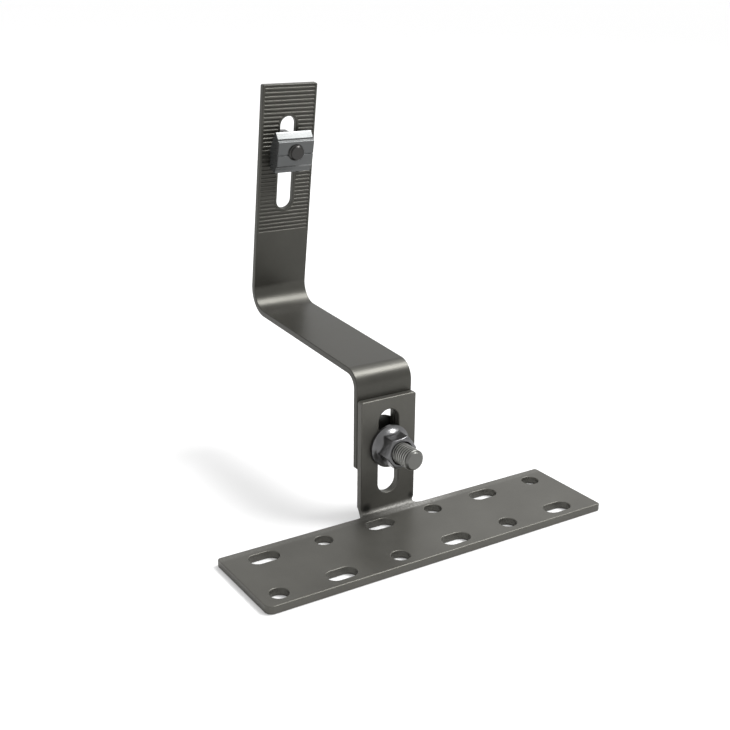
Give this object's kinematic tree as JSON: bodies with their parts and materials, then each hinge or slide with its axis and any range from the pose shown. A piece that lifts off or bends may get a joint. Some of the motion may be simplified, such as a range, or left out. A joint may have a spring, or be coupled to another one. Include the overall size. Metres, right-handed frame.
{
  "type": "solar roof hook",
  "caption": "Adjustable steel roof hook: slotted base plate with upright tab, bent hook arm with a serrated slotted leg, and a clamp block for a solar mounting rail.",
  "frame": {"origin": "middle of the base plate's underside, the face that is screwed down on the roof", "axes": "+X along the base plate, +Y the way the arm reaches out behind the tab, +Z away from the roof, towards the top of the upper leg"},
  "size_m": [0.18, 0.1569, 0.1931],
  "materials": {
    "bracket_steel": "satin, dark grey stainless steel",
    "arm_steel": "satin, dark grey stainless steel",
    "bolt_steel": "grey stainless steel",
    "nut_steel": "bright grey stainless steel",
    "clamp_aluminium": "dark mill-finish extrusion",
    "clamp_bolt_steel": "dark stainless steel",
    "washer_steel": "grey stainless steel"
  },
  "bodies": {
    "base": {"base_bracket": "bracket_steel"},
    "height_fastener": {"height_bolt": "bolt_steel", "height_nut": "nut_steel"},
    "arm": {"hook_arm": "arm_steel"},
    "rail_clamp_set": {"rail_clamp": "clamp_aluminium", "clamp_bolt": "clamp_bolt_steel", "clamp_washer": "washer_steel"}
  },
  "joints": [
    {"name": "height_bolt_slide", "type": "slide", "parent": "base", "child": "height_fastener", "axis": [0, 0, 1], "range_m": [-0.0161, 0.0098]},
    {"name": "arm_slide", "type": "slide", "parent": "height_fastener", "child": "arm", "axis": [0, 0, 1], "range_m": [-0.0153, 0]},
    {"name": "clamp_slide", "type": "slide", "parent": "arm", "child": "rail_clamp_set", "axis": [0, -0.1409, 0.99], "range_m": [-0.0273, 0.0114]}
  ]
}
